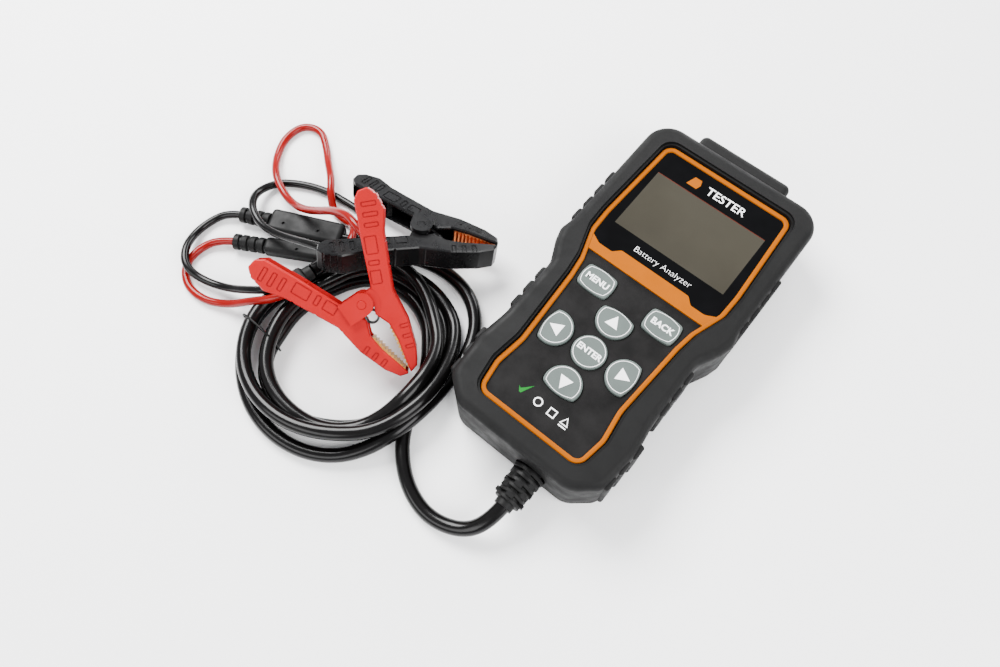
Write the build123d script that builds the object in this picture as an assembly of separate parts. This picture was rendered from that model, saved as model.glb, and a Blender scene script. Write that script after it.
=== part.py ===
from build123d import *
import math
import os

# Hand-held battery tester with a cable, an inline splitter and two toothed battery clamps.
# Frame in millimetres: +Z up, +Y towards the display end, the origin on the supporting surface
# under the middle of the tester. The tester lies on its back.

# --- tester body ---
BODY_TOP_Y = 92.0          # top edge of the rubber boot's main part
BODY_BOTTOM_Y = -100.0     # bottom edge of the boot
HEAD_HALF_WIDTH = 50.0     # beside the display
SHOULDER_HALF_WIDTH = 51.5
WAIST_HALF_WIDTH = 43.6    # beside the keypad
HIP_HALF_WIDTH = 46.0
BOOT_HEIGHT = 36.0
BOOT_WALL = 4.0
BOOT_FLOOR = 3.0
LIP_Z = 31.4               # underside of the boot's inward lip
PAD_SPACING = 9.6          # from one finger pad to the next
PORT_BLOCK_HALF_WIDTH = 27.0
PORT_BLOCK_TOP_Y = 100.0

# --- housings inside the boot ---
FIT = 0.3                  # gap all round between housings and boot
SHELL_WALL = 2.2
PART_PLANE_Z = 16.0        # where the two housings meet
FACE_Z = 30.8              # outer face of the front housing
FACE_THICKNESS = 2.4

# --- front face ---
RING_WIDTH = 2.6
RING_TOP_Z = 33.4
LENS_TOP_Z = 32.4
PANEL_TOP_Z = 32.0
BAND_LOW_Y = 3.8           # lower edge of the orange band
BAND_SIDE_Y = 9.2          # its upper edge near the sides
BAND_MIDDLE_Y = 12.8       # its upper edge in the middle
LCD_WIDTH = 65.0
LCD_HEIGHT = 38.6
LCD_CENTRE_Y = 43.7

# --- keys ---
KEY_TRAVEL = 0.8
KEY_TOP_Z = 33.3
KEY_BASE_Z = 29.4
KEY_GAP = 0.35
KEY_FLANGE = 1.0
ENTER_CENTRE = (0.0, -41.3)
ENTER_RADIUS = 8.7
ARROW_OFFSET = 19.9        # from the enter key to each arrow key
MENU_CENTRE = (-19.2, -8.8)
BACK_CENTRE = (19.2, -8.8)

# --- inside ---
BOARD_Z = 21.4
BOARD_THICKNESS = 1.6
SWITCH_TOP_Z = 25.6
SCREW_PLACES = ((-36.5, 80.0), (36.5, 80.0), (-31.0, -84.0), (31.0, -84.0))
SCREW_RADIUS = 1.5
BOSS_RADIUS = 3.6

# --- cords ---
CABLE_DIAMETER = 7.4
LEAD_DIAMETER = 4.3
GLAND_X = 12.0
GLAND_Z = 15.0
GLAND_END_Y = -121.0
HEADER_Y = -58.0
COIL_BUNDLE = (
    (-55.0, -82.0), (-51.0, -112.0), (-68.0, -147.5), (-98.0, -158.5), (-131.0, -152.5),
    (-149.0, -127.0), (-144.5, -95.0), (-132.0, -71.0), (-108.0, -57.5), (-76.0, -60.5),
)
COIL_OUTER_TURN = (
    (-49.5, -80.0), (-47.2, -112.0), (-62.0, -149.0), (-92.0, -166.0), (-129.0, -158.5),
    (-152.5, -129.0), (-145.5, -94.0), (-133.0, -69.0), (-113.0, -48.0), (-86.0, -36.5), (-60.0, -49.0),
)
COIL_HOLE_CENTRE = (-99.0, -108.3)
COIL_HOLE_HALVES = (38.0, 39.5)
COIL_TURN_HEIGHT = 7.5     # one cable thick
COIL_HEIGHT = 15.0         # two cables thick

# --- battery clamps, in each clamp's own frame: pivot at the origin, jaws towards +X ---
CLAMP_HALF_THICKNESS = 6.2
CLAMP_CHAMFER = 0.7
CLAMP_SKIN = 1.8
CLAMP_SPINE = 2.2
EAR_TOP = 8.2
PIN_RADIUS = 2.3
SPRING_X = 8.0             # middle of the spring's turns, ahead of the pivot
SPRING_RADIUS = 3.2
WEB_PLACE = (-21.0, 21.5)  # rib across the handle that grips the end of the lead
CLAMP_OPENING = 22.0       # degrees, jaws closed to jaws fully open

RED_CLAMP = Plane(origin=(-102.5, -89.0, 28.1), x_dir=(0.845, -0.175, -0.505), z_dir=(0.420, -0.368, 0.830))
BLACK_CLAMP = Plane(origin=(-110.4, -39.0, 17.4), x_dir=(0.884, 0.462, -0.067), z_dir=(0.122, -0.367, -0.922))
SPLITTER = Plane(origin=(-140.9, -99.6, 19.3), x_dir=(-0.20, -0.98, 0.0), z_dir=(0, 0, 1))
FLAT_MODULE = Plane(origin=(-202.0, -86.3, 4.5), x_dir=(0.907, 0.422, 0.0), z_dir=(0, 0, 1))
SLIM_MODULE = Plane(origin=(-192.4, -100.4, 4.5), x_dir=(0.872, 0.490, 0.0), z_dir=(0, 0, 1))
FLAT_MODULE_LENGTH = 59.0
SLIM_MODULE_LENGTH = 51.4

# --- routes of the cords, the points of their straight runs ---
CABLE_ROUTE = (
    (12.0, -119.0, 15.2), (11.4, -130.0, 12.2), (3.5, -140.5, 6.4), (-13.5, -145.5, 3.8),
    (-31.0, -140.5, 3.8), (-45.5, -128.5, 3.8), (-54.0, -114.0, 3.8),
)
BLACK_LEAD_ROUTE = (
    (-144.7, -103.8, 19.3), (-148.6, -111.6, 18.4), (-160.5, -117.8, 13.0), (-174.5, -122.8, 5.0),
    (-188.5, -127.5, 4.0), (-199.5, -128.5, 7.2), (-208.5, -121.5, 7.2), (-214.5, -110.0, 3.0),
    (-213.6, -98.0, 2.3), (-208.8, -90.0, 3.6), (-200.2, -85.5, 4.5),
)
RED_LEAD_ROUTE = (
    (-138.9, -105.0, 19.3), (-142.6, -113.4, 18.7), (-154.2, -121.0, 13.6), (-167.0, -128.8, 4.4),
    (-180.5, -135.2, 2.3), (-194.5, -135.0, 2.3), (-204.8, -126.5, 2.3), (-205.6, -114.5, 2.3),
    (-200.4, -105.0, 3.6), (-190.7, -99.4, 4.5),
)
BLACK_CLAMP_LEAD_ROUTE = (
    (-119.3, -65.0, 26.6), (-127.2, -72.4, 28.5), (-136.2, -78.7, 29.5), (-147.4, -81.5, 26.2),
    (-159.5, -83.6, 20.5), (-172.5, -85.8, 15.2), (-186.0, -86.0, 12.0), (-198.0, -80.5, 11.6),
    (-205.6, -71.0, 6.0), (-203.4, -58.6, 2.3), (-192.5, -50.6, 2.3), (-178.5, -45.0, 2.3),
    (-163.0, -43.0, 2.3), (-147.0, -42.3, 2.4), (-140.0, -49.5, 3.0), (-142.3, -58.7, 4.0),
    (-150.3, -62.3, 4.5),
)
RED_CLAMP_LEAD_ROUTE = (
    (-113.2, -67.1, 43.2), (-122.7, -65.9, 47.3), (-134.2, -62.7, 44.8), (-146.2, -63.4, 36.8),
    (-158.0, -64.6, 26.0), (-169.5, -65.2, 16.0), (-181.0, -65.0, 9.2), (-193.0, -62.6, 6.8),
    (-205.0, -57.0, 7.0), (-216.0, -47.0, 2.6), (-222.3, -34.0, 2.3), (-220.5, -21.0, 2.3),
    (-209.5, -16.6, 2.3), (-198.5, -23.8, 2.3), (-188.5, -32.0, 4.0), (-178.5, -39.0, 7.7),
    (-172.3, -46.0, 7.2), (-166.5, -51.5, 3.0), (-158.3, -52.6, 2.4), (-149.5, -52.2, 4.2),
    (-143.5, -57.5, 8.6), (-140.0, -65.0, 9.0), (-141.5, -72.8, 6.0), (-149.3, -76.1, 4.5),
)
TIE_ROUTE = (
    (-153.0, -128.6, 1.5), (-155.0, -128.6, 8.0), (-150.0, -128.6, 15.8), (-141.0, -128.8, 16.6),
    (-132.5, -129.2, 15.6), (-127.6, -129.6, 9.0), (-128.6, -129.6, 2.0),
)

NODES = {}


def node(name, shape, colour):
    """Keeps one sub-part under its name."""
    shape.label = name
    shape.color = Color(*colour)
    NODES[name] = shape


def prism(face, low, high):
    """A face in the XY plane, raised from low to high."""
    return extrude(Pos(0, 0, low) * face, high - low, dir=(0, 0, 1))


def mirrored_face(points, radii):
    """A closed outline from its right half, top to bottom, with its corners rounded."""
    left = [(-x, y) for x, y in reversed(points)]
    corners = points + left
    face = make_face(Polyline(*corners, close=True))
    for (x, y), radius in zip(points, radii):
        ends = [v for v in face.vertices() if math.hypot(abs(v.X) - x, v.Y - y) < 0.01]
        face = fillet(ends, radius)
    return face


def body_face(shrink=0.0):
    """Outline of the tester seen from above, pulled in by shrink on every side."""
    points = [
        (HEAD_HALF_WIDTH - shrink, BODY_TOP_Y - shrink),
        (HEAD_HALF_WIDTH - shrink, 12.0),
        (SHOULDER_HALF_WIDTH - shrink, 4.0 + 0.2 * shrink),
        (SHOULDER_HALF_WIDTH - 2.0 - shrink, -3.0 + 0.5 * shrink),
        (WAIST_HALF_WIDTH - shrink, -15.0 + 0.3 * shrink),
        (WAIST_HALF_WIDTH - shrink, -50.0),
        (HIP_HALF_WIDTH - shrink, -68.0),
        (HIP_HALF_WIDTH - 2.0 - shrink, -90.0 + 0.5 * shrink),
        (32.0 - 0.3 * shrink, BODY_BOTTOM_Y + shrink),
    ]
    return mirrored_face(points, [14.0 - shrink, 20.0, 6.0, 6.0, 9.0, 20.0, 20.0, 8.0, 12.0])


def ring_face(shrink=0.0):
    """Outline of the orange ring, pulled in by shrink on every side."""
    points = [
        (38.1 - shrink, 81.0 - shrink),
        (40.4 - shrink, 27.0),
        (39.9 - shrink, 14.0),
        (34.2 - shrink, -3.0),
        (32.6 - shrink, -14.0),
        (30.0 - shrink, -56.0),
        (32.1 - shrink, -72.0),
        (29.4 - 0.8 * shrink, -89.0 + shrink),
    ]
    return mirrored_face(points, [6.0 - shrink, 30.0, 12.0, 12.0, 30.0, 20.0, 12.0, 6.5 - shrink])


def band_face(grow=0.0):
    """The band across the face between the display and the keys, with its raised middle."""
    low, side, middle = BAND_LOW_Y - grow, BAND_SIDE_Y + grow, BAND_MIDDLE_Y + grow
    points = [(20.0, middle), (23.5, side), (31.5, side), (41.0, side + 5.0), (41.0, low)]
    return mirrored_face(points, [2.0, 2.0, 4.0, 0.3, 0.3])


def boot():
    """Rubber boot: a tray with a lip that grips the housings, grip pads and the port block."""
    outer = prism(body_face(), 0, BOOT_HEIGHT)
    rims = outer.edges().filter_by(GeomType.LINE, reverse=True) + outer.edges().filter_by(GeomType.LINE)
    level = [e for e in rims if abs(e.bounding_box().size.Z) < 0.01]
    outer = fillet(level, 4.2)
    block = Pos(0, (PORT_BLOCK_TOP_Y + 70) / 2, 18.5) * Box(
        2 * PORT_BLOCK_HALF_WIDTH, PORT_BLOCK_TOP_Y - 70, 29)
    outer += fillet(block.edges(), 3.6)
    outer += grip_pads()
    cavity = prism(body_face(BOOT_WALL), BOOT_FLOOR, LIP_Z)
    mouth = prism(ring_face(-0.5), LIP_Z - 1, BOOT_HEIGHT + 1)
    step = prism(ring_face(-1.7), BOOT_HEIGHT - 1.2, BOOT_HEIGHT + 1)
    port = Pos(0, 95, 18.0) * Box(13, 30, 9)
    gland_hole = Pos(GLAND_X, -98, GLAND_Z) * Rot(90, 0, 0) * Cylinder(8.6, 12)
    label_recess = Pos(0, -8, 0.3) * Box(58, 74, 0.8)
    return outer - cavity - mouth - step - port - gland_hole - label_recess


def grip_pads():
    """Raised finger pads along both long sides and on the lower corners of the boot."""
    pads = [(HEAD_HALF_WIDTH, 16.0 + PAD_SPACING * i) for i in range(4)]
    pads += [(WAIST_HALF_WIDTH, -22.5 - PAD_SPACING * i) for i in range(3)]
    pads += [(HIP_HALF_WIDTH - 0.3 - 0.7 * i, -66.0 - PAD_SPACING * i) for i in range(3)]
    pad = fillet(Box(4.4, 7.8, 29).edges(), 1.5)
    return [Pos(side * (x - 0.7), y, 19.0) * pad for x, y in pads for side in (1, -1)]


def shell_half(low, high, face_at_top):
    """A housing half: side wall with a closed floor or face."""
    wall = prism(body_face(BOOT_WALL + FIT), low, high) - prism(
        body_face(BOOT_WALL + FIT + SHELL_WALL), low - 1, high + 1)
    if face_at_top:
        plate = prism(body_face(BOOT_WALL + FIT), high - FACE_THICKNESS, high)
    else:
        plate = prism(body_face(BOOT_WALL + FIT), low, low + SHELL_WALL)
    return wall + plate


def key_shapes():
    """Each key's outline function, its place and its turn, by name."""
    shapes = {"key_enter": (enter_key_face, ENTER_CENTRE, 0)}
    arrows = (("key_up", 90), ("key_left", 180), ("key_down", 270), ("key_right", 0))
    for name, turn in arrows:
        angle = math.radians(turn)
        centre = (
            ENTER_CENTRE[0] + ARROW_OFFSET * math.cos(angle),
            ENTER_CENTRE[1] + ARROW_OFFSET * math.sin(angle),
        )
        shapes[name] = (arrow_key_face, centre, turn)
    shapes["key_menu"] = (menu_key_face, MENU_CENTRE, 0)
    shapes["key_back"] = (menu_key_face, BACK_CENTRE, 0)
    return shapes


def enter_key_face(grow=0.0):
    """The round key in the middle, grown by grow on every side."""
    return Circle(ENTER_RADIUS + grow)


def arrow_key_face(grow=0.0):
    """Round towards the enter key, with a shallow arc and two corners on the outer side (+X)."""
    half, corner_x, crown = 8.7 + grow, 4.5 + grow, 6.3 + grow
    inner = ThreePointArc((corner_x, half), (-half, 0), (corner_x, -half))
    outer = ThreePointArc((corner_x, -half), (crown, 0), (corner_x, half))
    return fillet(make_face([inner, outer]).vertices(), 1.6)


def menu_key_face(grow=0.0):
    """A rounded rectangle with barrel sides."""
    half_x, half_y, bulge = 8.3 + grow, 6.0 + grow, 0.9
    edges = [
        ThreePointArc((-half_x, half_y), (-half_x - bulge, 0), (-half_x, -half_y)),
        ThreePointArc((-half_x, -half_y), (0, -half_y - bulge), (half_x, -half_y)),
        ThreePointArc((half_x, -half_y), (half_x + bulge, 0), (half_x, half_y)),
        ThreePointArc((half_x, half_y), (0, half_y + bulge), (-half_x, half_y)),
    ]
    return fillet(make_face(edges).vertices(), 2.2)


def key_column(outline, centre, turn, grow, low, high):
    """A key's outline at its place on the keypad, grown by grow and raised from low to high."""
    return prism(Pos(centre[0], centre[1], 0) * Rot(0, 0, turn) * outline(grow), low, high)


def key_cap(outline, centre, turn):
    """A key: a domed cap, a flange that keeps it in, and a plunger over its switch."""
    cap = key_column(outline, centre, turn, 0, KEY_BASE_Z, KEY_TOP_Z)
    cap = fillet(cap.faces().sort_by(Axis.Z)[-1].edges(), 0.7)
    underside = FACE_Z - FACE_THICKNESS
    flange = key_column(outline, centre, turn, KEY_FLANGE, underside - 1.4, underside - 0.1)
    neck = key_column(outline, centre, turn, -1.0, underside - 1.0, KEY_BASE_Z + 0.5)
    plunger_low = SWITCH_TOP_Z + KEY_TRAVEL + 0.1
    plunger = Pos(centre[0], centre[1], plunger_low) * Cylinder(
        2.0, underside - 1.0 - plunger_low, align=(Align.CENTER, Align.CENTER, Align.MIN))
    return cap + flange + neck + plunger


def key_holes(low, high):
    """The openings for all the keys."""
    return [
        key_column(outline, centre, turn, KEY_GAP, low, high)
        for outline, centre, turn in key_shapes().values()
    ]


def front_housing():
    """Front half: face plate with the display window and the key openings, and screw bosses."""
    shell = shell_half(PART_PLANE_Z, FACE_Z, True)
    window = Pos(0, LCD_CENTRE_Y, FACE_Z) * Box(LCD_WIDTH + 2, LCD_HEIGHT + 2, 10)
    shell -= window
    for hole in key_holes(FACE_Z - FACE_THICKNESS - 1, FACE_Z + 1):
        shell -= hole
    for x, y in SCREW_PLACES:
        boss = Cylinder(BOSS_RADIUS, FACE_Z - FACE_THICKNESS - BOARD_Z - BOARD_THICKNESS,
                        align=(Align.CENTER, Align.CENTER, Align.MIN))
        bore = Cylinder(SCREW_RADIUS, 5, align=(Align.CENTER, Align.CENTER, Align.MIN))
        base = Pos(x, y, BOARD_Z + BOARD_THICKNESS)
        shell = shell + base * boss - base * bore
    usb_window = Pos(0, BODY_TOP_Y - BOOT_WALL, 18.5) * Box(10, 12, 8)
    gland_seat = Pos(GLAND_X, BODY_BOTTOM_Y + BOOT_WALL, GLAND_Z) * Rot(90, 0, 0) * Cylinder(6.4, 14)
    return shell - usb_window - gland_seat


def rear_housing():
    """Rear half: tray with four bosses that carry the board, and the cable saddle."""
    low = BOOT_FLOOR + 0.2
    shell = shell_half(low, PART_PLANE_Z, False)
    for x, y in SCREW_PLACES:
        boss = Cylinder(BOSS_RADIUS, BOARD_Z - low - 1, align=(Align.CENTER, Align.CENTER, Align.MIN))
        shell += Pos(x, y, low + 1) * boss
    for x, y in SCREW_PLACES:
        shell -= Pos(x, y, low - 1) * Cylinder(1.7, 30, align=(Align.CENTER, Align.CENTER, Align.MIN))
        shell -= Pos(x, y, low - 1) * Cylinder(3.2, 4.0, align=(Align.CENTER, Align.CENTER, Align.MIN))
    saddle = Pos(GLAND_X, -80, low + 1) * Box(26, 7, 7.0, align=(Align.CENTER, Align.CENTER, Align.MIN))
    groove = Pos(GLAND_X, -80, GLAND_Z) * Rot(90, 0, 0) * Cylinder(CABLE_DIAMETER / 2, 20)
    shell = shell + saddle - groove
    usb_window = Pos(0, BODY_TOP_Y - BOOT_WALL, 18.5) * Box(10, 12, 8)
    gland_seat = Pos(GLAND_X, BODY_BOTTOM_Y + BOOT_WALL, GLAND_Z) * Rot(90, 0, 0) * Cylinder(6.4, 14)
    return shell - usb_window - gland_seat


def orange_bezel():
    """The ring round the face and the band across it, in one piece."""
    ring = prism(ring_face(), FACE_Z, RING_TOP_Z) - prism(ring_face(RING_WIDTH), FACE_Z - 1, RING_TOP_Z + 1)
    rounded = [e for e in ring.edges() if e.bounding_box().min.Z > RING_TOP_Z - 0.01]
    ring = fillet(rounded, 0.8)
    band = prism(band_face(), FACE_Z, RING_TOP_Z - 0.5) & prism(ring_face(1.0), FACE_Z, RING_TOP_Z)
    return ring + band


def display_window():
    """Gloss black lens above the band. Its clear part lies over the display."""
    inside = prism(ring_face(RING_WIDTH + 0.05), FACE_Z, LENS_TOP_Z)
    above = Pos(0, 60, FACE_Z) * Box(100, 2 * (60 - BAND_LOW_Y), 10)
    lens = (inside & above) - prism(band_face(0.05), FACE_Z - 1, LENS_TOP_Z + 1)
    return lens.solids().sort_by(SortBy.VOLUME)[-1]


def keypad_panel():
    """Textured panel below the band, with an opening for each key."""
    inside = prism(ring_face(RING_WIDTH + 0.05), FACE_Z, PANEL_TOP_Z)
    below = Pos(0, BAND_LOW_Y - 0.05, FACE_Z) * Box(
        100, 120, 10, align=(Align.CENTER, Align.MAX, Align.CENTER))
    panel = inside & below
    for hole in key_holes(FACE_Z - 1, PANEL_TOP_Z + 1):
        panel -= hole
    return panel


def electronics():
    """Display, board, switches and the parts on the board."""
    glass_low = FACE_Z - FACE_THICKNESS - 2.9
    lcd = Pos(0, LCD_CENTRE_Y, glass_low) * Box(
        74, 47, 2.6, align=(Align.CENTER, Align.CENTER, Align.MIN))
    node("lcd_panel", fillet(lcd.edges().filter_by(Axis.Z), 0.6), (0.45, 0.43, 0.36))
    tray = Pos(0, LCD_CENTRE_Y, BOARD_Z + BOARD_THICKNESS) * Box(
        76, 49, glass_low - BOARD_Z - BOARD_THICKNESS, align=(Align.CENTER, Align.CENTER, Align.MIN))
    node("backlight_tray", fillet(tray.edges().filter_by(Axis.Z), 1.0), (0.85, 0.85, 0.85))

    board_face = ring_face(-1.0)
    board = prism(board_face, BOARD_Z, BOARD_Z + BOARD_THICKNESS)
    for x, y in SCREW_PLACES:
        board -= Pos(x, y, BOARD_Z) * Cylinder(1.7, 10)
    node("main_board", board, (0.05, 0.30, 0.12))

    top = BOARD_Z + BOARD_THICKNESS
    domes = []
    for _, centre, _ in key_shapes().values():
        base = Box(6, 6, 1.6, align=(Align.CENTER, Align.CENTER, Align.MIN))
        button = Pos(0, 0, 1.6) * Cylinder(
            1.6, SWITCH_TOP_Z - top - 1.6, align=(Align.CENTER, Align.CENTER, Align.MIN))
        domes.append(Pos(centre[0], centre[1], top) * (base + button))
    node("key_switches", Compound(children=domes), (0.7, 0.7, 0.72))

    chips = []
    for x, y, long, wide in ((-14, 30, 14, 14), (12, 32, 9, 6), (-16, -6, 7, 5), (15, -30, 7, 5)):
        chips.append(Pos(x, y, BOARD_Z) * Box(long, wide, 1.5, align=(Align.CENTER, Align.CENTER, Align.MAX)))
    node("board_chips", Compound(children=chips), (0.05, 0.05, 0.05))
    capacitors = []
    for x in (-22, -11):
        can = Cylinder(4.0, 9.5, align=(Align.CENTER, Align.CENTER, Align.MAX))
        capacitors.append(Pos(x, -66, BOARD_Z) * fillet(can.edges().group_by(Axis.Z)[0], 0.6))
    node("capacitors", Compound(children=capacitors), (0.15, 0.2, 0.45))
    resistor = Pos(14, 4, BOARD_Z) * Box(24, 9, 8, align=(Align.CENTER, Align.CENTER, Align.MAX))
    node("load_resistor", fillet(resistor.edges(), 0.8), (0.85, 0.83, 0.78))
    buzzer = Pos(-20, 62, BOARD_Z) * (
        Cylinder(6.0, 7.0, align=(Align.CENTER, Align.CENTER, Align.MAX))
        - Pos(0, 0, -7) * Cylinder(1.0, 3))
    node("buzzer", buzzer, (0.05, 0.05, 0.05))
    header = Pos(GLAND_X, HEADER_Y, BOARD_Z) * Box(14, 8, 9, align=(Align.CENTER, Align.CENTER, Align.MAX))
    node("cable_header", fillet(header.edges().filter_by(Axis.Z), 0.8), (0.9, 0.9, 0.86))
    socket = Box(8.4, 9.0, 4.4) - Pos(0, 1.5, 0) * Box(6.8, 8.0, 3.0)
    node("usb_socket", Pos(0, 82.0, BOARD_Z - 2.2) * socket, (0.75, 0.75, 0.78))


def screw(length, head_radius=2.8, shank=SCREW_RADIUS):
    """A cross-head screw, head down, shank up."""
    head = Cylinder(head_radius, 1.8, align=(Align.CENTER, Align.CENTER, Align.MIN))
    body = Pos(0, 0, 1.8) * Cylinder(shank, length, align=(Align.CENTER, Align.CENTER, Align.MIN))
    cross = Box(3.0, 0.7, 1.6) + Box(0.7, 3.0, 1.6)
    return head + body - cross


def fasteners():
    """Housing screws, the cable bar and its screws, and the label plate."""
    seat = BOOT_FLOOR + 3.2 - 1.8
    length = BOARD_Z + BOARD_THICKNESS + 3.0 - seat - 1.8
    screws = [Pos(x, y, seat) * screw(length) for x, y in SCREW_PLACES]
    node("housing_screws", Compound(children=screws), (0.6, 0.6, 0.6))
    bar = Pos(GLAND_X, -80, 11.2) * Box(26, 6, 8.2, align=(Align.CENTER, Align.CENTER, Align.MIN))
    bar -= Pos(GLAND_X, -80, GLAND_Z) * Rot(90, 0, 0) * Cylinder(CABLE_DIAMETER / 2, 20)
    for side in (-1, 1):
        bar -= Pos(GLAND_X + side * 9.5, -80, 15) * Cylinder(1.2, 20)
    node("cable_bar", bar.solids().sort_by(SortBy.VOLUME)[-1], (0.1, 0.1, 0.1))
    bar_screws = []
    for side in (-1, 1):
        one = Rot(180, 0, 0) * screw(7.5, 2.0, 1.1)
        bar_screws.append(Pos(GLAND_X + side * 9.5, -80, 21.2) * one)
    node("cable_bar_screws", Compound(children=bar_screws), (0.6, 0.6, 0.6))
    label = Pos(0, -8, 0.35) * Box(56, 72, 0.5)
    node("label_plate", fillet(label.edges().filter_by(Axis.Z), 3), (0.75, 0.75, 0.75))


def cable_gland():
    """Moulded strain relief: a flange inside the case and a tapered sleeve of staggered rings."""
    start = BODY_BOTTOM_Y + 2.0
    core = Pos(GLAND_X, GLAND_END_Y, GLAND_Z) * Rot(-90, 0, 0) * Cone(
        4.6, 6.2, start - GLAND_END_Y + 10, align=(Align.CENTER, Align.CENTER, Align.MIN))
    flange = Pos(GLAND_X, BODY_BOTTOM_Y + BOOT_WALL + FIT + SHELL_WALL + 1.0, GLAND_Z) * Rot(
        90, 0, 0) * Cylinder(8.4, 1.6)
    gland = core + flange
    rings = 6
    for i in range(rings):
        y = BODY_BOTTOM_Y - 1.6 - 3.1 * i
        radius = 8.3 - 0.33 * i
        ring = Pos(GLAND_X, y, GLAND_Z) * Rot(90, 0, 0) * Cylinder(radius, 1.9)
        ring = fillet(ring.edges(), 0.35)
        gland += ring
        for k in range(4):
            angle = math.radians(90 * k + 45 * (i % 2))
            rib = Pos(GLAND_X + 6.2 * math.cos(angle), y - 1.5, GLAND_Z + 6.2 * math.sin(angle)) * Rot(
                0, -math.degrees(angle), 0) * Box(3.0, 1.9, 4.0)
            if i < rings - 1:
                gland += rib
    bore = Pos(GLAND_X, -100, GLAND_Z) * Rot(90, 0, 0) * Cylinder(CABLE_DIAMETER / 2, 80)
    return gland - bore


def cord_tube(name, route, diameter):
    """Straight runs joined by tangent arcs, each arc as large as its two runs allow."""
    points = [Vector(*p) for p in route]
    runs = [b - a for a, b in zip(points, points[1:])]
    radii = []
    for before, after in zip(runs, runs[1:]):
        half_turn = math.radians(before.get_angle(after)) / 2
        radii.append(0.45 * min(before.length, after.length) / math.tan(half_turn))
    path = FilletPolyline(*points, radius=radii)
    section = Plane(origin=points[0], z_dir=runs[0]) * Circle(diameter / 2)
    tube = sweep(section, path=path, transition=Transition.ROUND)
    expected = math.pi * diameter**2 / 4 * path.length
    print(name, "radii", [round(r, 1) for r in radii], "length", round(path.length, 1),
          "volume ratio", round(tube.volume / expected, 4))
    return tube


def loop_prism(points, high):
    """A column from the surface up, whose outline is a smooth closed curve through the points."""
    return prism(make_face(Spline(*points, periodic=True)), 0, high)


def cable_coil():
    """The loose coil's outer shape: a bundle two turns high and an outer turn on the surface."""
    bundle = loop_prism(COIL_BUNDLE, COIL_HEIGHT)
    bundle = fillet(bundle.edges().group_by(Axis.Z)[-1], 5)
    outer_turn = loop_prism(COIL_OUTER_TURN, COIL_TURN_HEIGHT)
    outer_turn = fillet(outer_turn.edges().group_by(Axis.Z)[-1], 3)
    hole = prism(Pos(*COIL_HOLE_CENTRE, 0) * Ellipse(*COIL_HOLE_HALVES), -1, COIL_HEIGHT + 1)
    return bundle + outer_turn - hole


def splitter():
    """Moulded piece where the cable becomes two leads."""
    body = fillet(Box(11.5, 11.0, 7.4).edges(), 2.4)
    neck = Pos(-7.2, 0, 0) * Rot(0, 90, 0) * Cone(3.7, 4.1, 4)
    return SPLITTER * (body + neck)


def inline_module(length, width, height, with_hole_at):
    """Moulded inline piece: segmented sleeve on the left, flat tapered body, dimples on top."""
    sleeve_length = 17.0
    piece = Pos(sleeve_length / 2, 0, 0) * Rot(0, 90, 0) * Cylinder(3.4, sleeve_length)
    for x in (1.6, 6.2, 10.8, 15.4):
        ring = Pos(x, 0, 0) * Rot(0, 90, 0) * Cylinder(4.4, 3.2)
        piece += fillet(ring.edges(), 0.5)
    body = Pos((length + sleeve_length) / 2, 0, 0) * Box(length - sleeve_length, width, height)
    edges = body.edges()
    body = fillet(edges, height * 0.3)
    piece += body
    for x in with_hole_at:
        piece -= Pos(x, -width * 0.12, height / 2) * Cylinder(0.9, 1.6)
    return piece


def twist_tie():
    """Thin tie wire bent round the bundle."""
    return cord_tube("twist_tie", TIE_ROUTE, 1.1)


# --- battery clamps ---

def arm_outline():
    """The lead arm seen along the pivot: handle towards -X, jaw towards +X, pivot side down."""
    outer = [
        (-45.6, 29.5), (-44.6, 34.0), (-40.0, 36.0), (-31.5, 35.0), (-26.5, 31.4), (-23.0, 28.8),
        (-12.0, 23.4), (3.0, 16.2), (19.0, 14.2), (33.0, 9.4), (40.0, 5.0),
    ]
    inner = [
        (41.2, 0.5), (34.0, 2.1), (24.0, 4.6), (15.0, 5.4), (7.6, 2.6), (-3.2, 7.8), (-27.0, 18.0), (-43.0, 25.4),
    ]
    face = make_face(Polyline(*(outer + inner), close=True))
    gentle = [v for v in face.vertices() if v.X > 36]
    face = fillet(gentle, 0.5)
    rest = [v for v in face.vertices() if v.X < 36]
    return fillet(rest, 1.2)


def flip(shape):
    """Mirrors a clamp piece to the other side of the clamp's middle plane."""
    return mirror(shape, Plane.XZ)


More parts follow.
